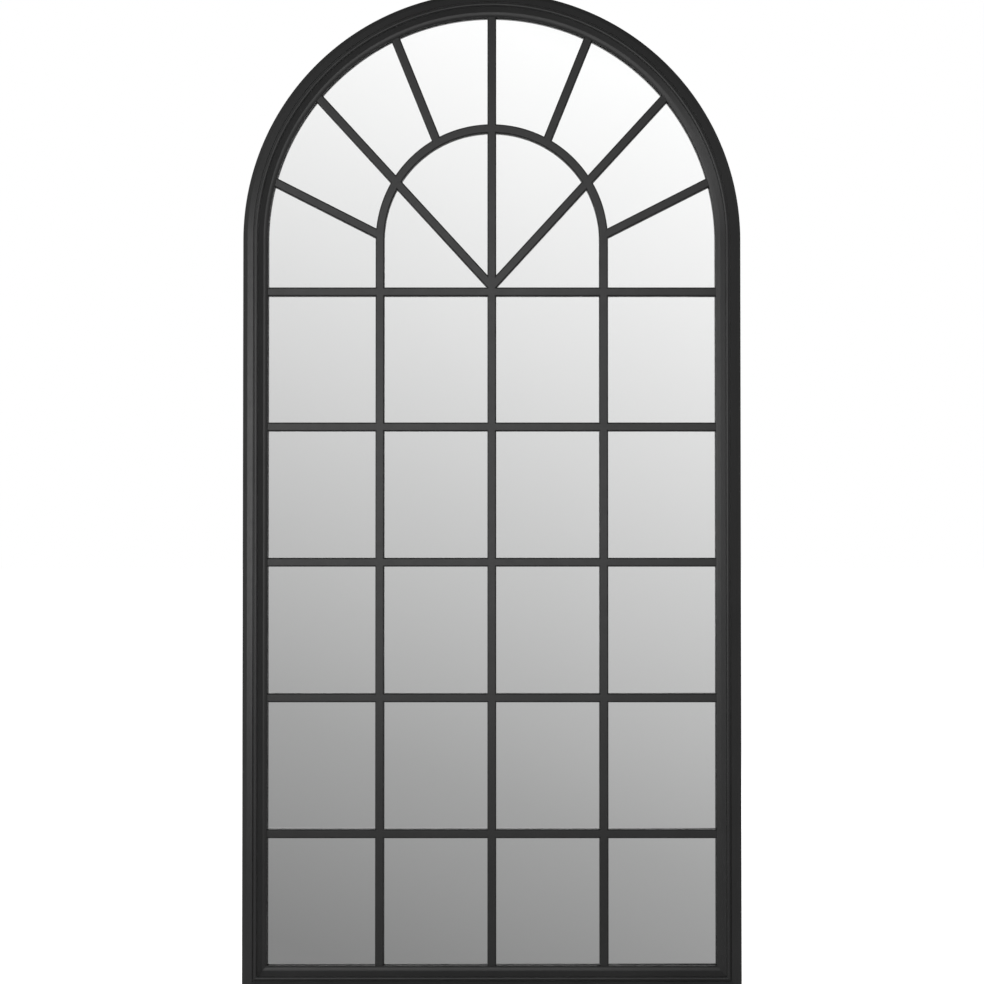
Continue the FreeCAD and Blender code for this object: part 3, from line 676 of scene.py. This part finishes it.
def make_strap(end, side):
    """A strap of sheet steel, its top rolled into the eye for the ring."""
    bm = bmesh.new()
    foot = bm.verts.new((0.0, BACK_Y * MM, STRAP_FOOT * MM))
    bend = bm.verts.new((0.0, BACK_Y * MM, STRAP_BEND * MM))
    top = bm.verts.new((0.0, (EYE_Y - EYE_RADIUS) * MM, EYE_Z * MM))
    bm.edges.new((foot, bend))
    bm.edges.new((bend, top))
    eye = (0.0, EYE_Y * MM, EYE_Z * MM)
    bmesh.ops.spin(bm, geom=[top], cent=eye, axis=(-1, 0, 0), angle=math.radians(EYE_TURN), steps=EYE_STEPS)
    edge = bmesh.ops.extrude_edge_only(bm, edges=bm.edges[:])
    bmesh.ops.translate(bm, verts=corners_of(edge), vec=(STRAP_WIDTH * MM, 0.0, 0.0))
    bmesh.ops.translate(bm, verts=bm.verts, vec=((side * MEMBER_MIDDLE - STRAP_WIDTH / 2) * MM, 0.0, 0.0))
    low = [corner for corner in bm.verts if corner.co.z < (STRAP_FOOT + STRAP_CORNER) * MM]
    soften(bm, low, STRAP_CORNER, STRAP_CORNER_STEPS)
    bmesh.ops.recalc_face_normals(bm, faces=bm.faces)
    bmesh.ops.solidify(bm, geom=bm.faces[:], thickness=STRAP_THICKNESS * MM)
    arris = [line for line in bm.edges if line.calc_face_angle(0.0) > math.radians(ARRIS_BEND)]
    bmesh.ops.bevel(
        bm,
        geom=arris,
        offset=STRAP_SOFT * MM,
        offset_type="OFFSET",
        affect="EDGES",
        segments=STRAP_SOFT_STEPS,
        profile=0.5,
        material=-1,
    )
    finished(bm, f"{end}_hanger_strap_rolled", ZINC, f"{end}_hanger_strap")


def make_bumpers():
    """Rubber buttons with a softly domed face."""
    bm = bmesh.new()
    points = [Vector((radius * MM, height * MM, 0.0)) for radius, height, _ in BUMPER_OUTLINE]
    for start, end, (*_, bow) in zip(points, points[1:], BUMPER_OUTLINE):
        bowed_line(bm, start, end, bow * MM)
    bmesh.ops.remove_doubles(bm, verts=bm.verts, dist=SAME_PLACE)
    bmesh.ops.spin(
        bm,
        geom=bm.verts[:] + bm.edges[:],
        cent=(0, 0, 0),
        axis=(0, 1, 0),
        angle=2 * math.pi,
        steps=BUMPER_SIDES,
        use_merge=True,
    )
    spots = [(side * MEMBER_MIDDLE, BUMPER_Z) for side in SIDES.values()]
    spots += [round_the_head(MEMBER_MIDDLE, angle) for angle in (BUMPER_ANGLE, 180.0 - BUMPER_ANGLE)]
    set_out(bm, [Matrix.Translation((x * MM, BACK_Y * MM, z * MM)) for x, z in spots])
    finished(bm, "wall_bumpers_domed", RUBBER, "wall_bumpers")


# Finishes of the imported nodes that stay
def dress_nodes():
    finishes = {
        HARDBOARD: ("backing_board",),
        RUBBER: ("setting_blocks",),
        BEECH: ("spring_dowels", "crown_dowels", "mitre_dowels"),
        ZINC: ("left_hanger_ring", "right_hanger_ring"),
    }
    for material, nodes in finishes.items():
        for node in nodes:
            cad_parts[node].data.materials[0] = material


for side_name, side_sign in SIDES.items():
    make_stile(side_name, side_sign)
    make_head(side_name, side_sign)
    make_strap(side_name, side_sign)
make_rail()
make_grille()
mirror_glass = make_mirror()
make_backing_screws()
make_hanger_screws()
make_bumpers()
dress_nodes()


# The studio
def make_floor():
    """A pale floor that keeps the shadow and runs out to white."""
    bm = bmesh.new()
    bmesh.ops.create_grid(bm, x_segments=2, y_segments=2, size=FLOOR_HALF)
    mesh = bpy.data.meshes.new("floor")
    bm.to_mesh(mesh)
    bm.free()
    floor = bpy.data.objects.new("floor", mesh)
    bpy.context.scene.collection.objects.link(floor)
    material = bpy.data.materials.new("pale_floor")
    material.use_nodes = True
    nodes = material.node_tree.nodes
    shader = nodes["Principled BSDF"]
    shader.inputs["Base Color"].default_value = (FLOOR_GREY, FLOOR_GREY, FLOOR_GREY, 1.0)
    shader.inputs["Roughness"].default_value = 0.9
    shader.inputs["Specular IOR Level"].default_value = 0.0
    shader.inputs["Emission Color"].default_value = (1.0, 1.0, 1.0, 1.0)
    path = nodes.new("ShaderNodeLightPath")
    glow = nodes.new("ShaderNodeMath")
    glow.operation = "MULTIPLY"
    glow.inputs[1].default_value = FLOOR_GLOW
    connect(material, path.outputs["Is Camera Ray"], glow, 0)
    connect(material, glow.outputs["Value"], shader, "Emission Strength")
    mesh.materials.append(material)
    floor.visible_glossy = False
    floor.visible_transmission = False


def chosen(owner, ray, otherwise, level):
    """A level for one kind of ray, and another for the rest; each is a number or another node's value."""
    node = owner.node_tree.nodes.new("ShaderNodeMix")
    connect(owner, ray, node, "Factor")
    for socket, value in (("A", otherwise), ("B", level)):
        if isinstance(value, float):
            node.inputs[socket].default_value = value
        else:
            connect(owner, value, node, socket)
    return node.outputs["Result"]


def make_world():
    """White behind the object, a graded studio in the mirror, a fading sheen and a plain level elsewhere."""
    world = bpy.data.worlds.new("studio")
    bpy.context.scene.world = world
    world.use_nodes = True
    nodes = world.node_tree.nodes
    nodes.clear()
    direction = nodes.new("ShaderNodeTexCoord")
    parts = nodes.new("ShaderNodeSeparateXYZ")
    connect(world, direction.outputs["Generated"], parts, "Vector")
    sideways = ranged(world, parts.outputs["X"], -LEAN_REACH, LEAN_REACH, -LEAN, LEAN)
    height = nodes.new("ShaderNodeMath")
    height.operation = "ADD"
    connect(world, parts.outputs["Z"], height, 0)
    connect(world, sideways, height, 1)
    along = ranged(world, height.outputs["Value"], -MIRRORED_REACH, MIRRORED_REACH, 0.0, 1.0)
    graded = ramp(world, along, [(position, (grey, grey, grey)) for position, grey in MIRRORED_GREYS])
    steepness = nodes.new("ShaderNodeMath")
    steepness.operation = "ABSOLUTE"
    connect(world, parts.outputs["Z"], steepness, 0)
    fading = ranged(world, steepness.outputs["Value"], LEVEL_REACH, STEEP_REACH, LEVEL_SHEEN, STEEP_SHEEN)
    path = nodes.new("ShaderNodeLightPath")
    plain = chosen(world, path.outputs["Is Glossy Ray"], PLAIN_LEVEL, fading)
    level = chosen(world, path.outputs["Is Transmission Ray"], plain, graded)
    shown = chosen(world, path.outputs["Is Camera Ray"], level, WHITE_LEVEL)
    background = nodes.new("ShaderNodeBackground")
    background.inputs["Color"].default_value = (1.0, 1.0, 1.0, 1.0)
    connect(world, shown, background, "Strength")
    output = nodes.new("ShaderNodeOutputWorld")
    connect(world, background.outputs["Background"], output, "Surface")


def make_lamp(name, place, aim, width, height, power):
    """A soft box that isn't seen itself."""
    data = bpy.data.lights.new(name, "AREA")
    data.shape = "RECTANGLE"
    data.size = width
    data.size_y = height
    data.energy = power
    lamp = bpy.data.objects.new(name, data)
    lamp.location = place
    lamp.rotation_euler = (Vector(aim) - Vector(place)).to_track_quat("-Z", "Y").to_euler()
    lamp.visible_camera = False
    bpy.context.scene.collection.objects.link(lamp)
    return lamp


def keep_out_of_mirror(lamps, mirror):
    """The lamps light everything but the glass, so that the glass doesn't show them."""
    unlit = bpy.data.collections.new("not_lit_by_the_lamps")
    unlit.objects.link(mirror)
    unlit.collection_objects[0].light_linking.link_state = "EXCLUDE"
    for lamp in lamps:
        lamp.light_linking.receiver_collection = unlit


def make_camera():
    data = bpy.data.cameras.new("camera")
    data.sensor_width = SENSOR
    data.sensor_fit = "HORIZONTAL"
    data.lens = LENS
    camera = bpy.data.objects.new("camera", data)
    camera.location = CAMERA_PLACE
    camera.rotation_euler = (math.radians(CAMERA_TILT), 0.0, 0.0)
    bpy.context.scene.collection.objects.link(camera)
    bpy.context.scene.camera = camera


make_floor()
make_world()
left_box = make_lamp("left_box", *LEFT_BOX)
front_box = make_lamp("front_box", *FRONT_BOX)
keep_out_of_mirror((left_box, front_box), mirror_glass)
make_lamp("back_box", *BACK_BOX)
make_camera()
bpy.context.scene.view_settings.view_transform = "Standard"

bpy.context.view_layer.update()
